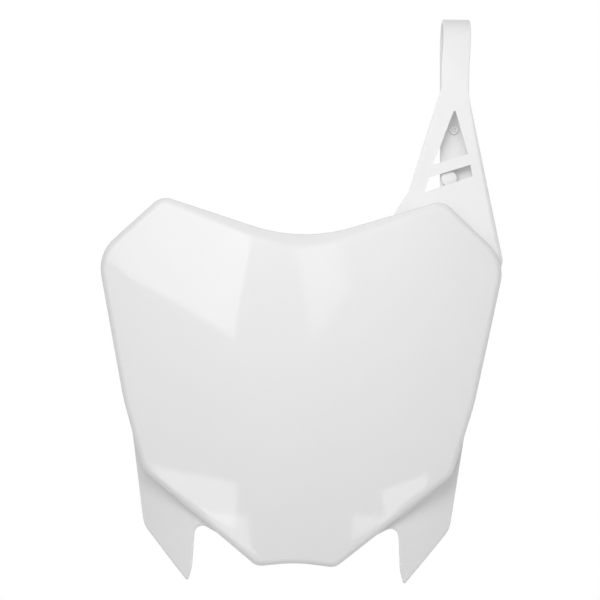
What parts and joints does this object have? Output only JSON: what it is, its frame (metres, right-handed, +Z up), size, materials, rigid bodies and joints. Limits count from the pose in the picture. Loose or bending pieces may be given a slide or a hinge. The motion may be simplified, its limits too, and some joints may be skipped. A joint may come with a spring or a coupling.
{
  "type": "racing number board",
  "caption": "Blank white front number board for an off-road racing motorcycle, a bowed plastic shell with two lower cheeks and one integral handlebar strap.",
  "frame": {"origin": "middle of the hole in the upper rear lug, on its axis", "axes": "+Z up as fitted, the face looks along -Y, the strap is on the +X side"},
  "size_m": [0.2682, 0.063, 0.3775],
  "materials": {
    "white_plastic": "gloss"
  },
  "bodies": {
    "root": {"number_board": "white_plastic"}
  },
  "joints": []
}
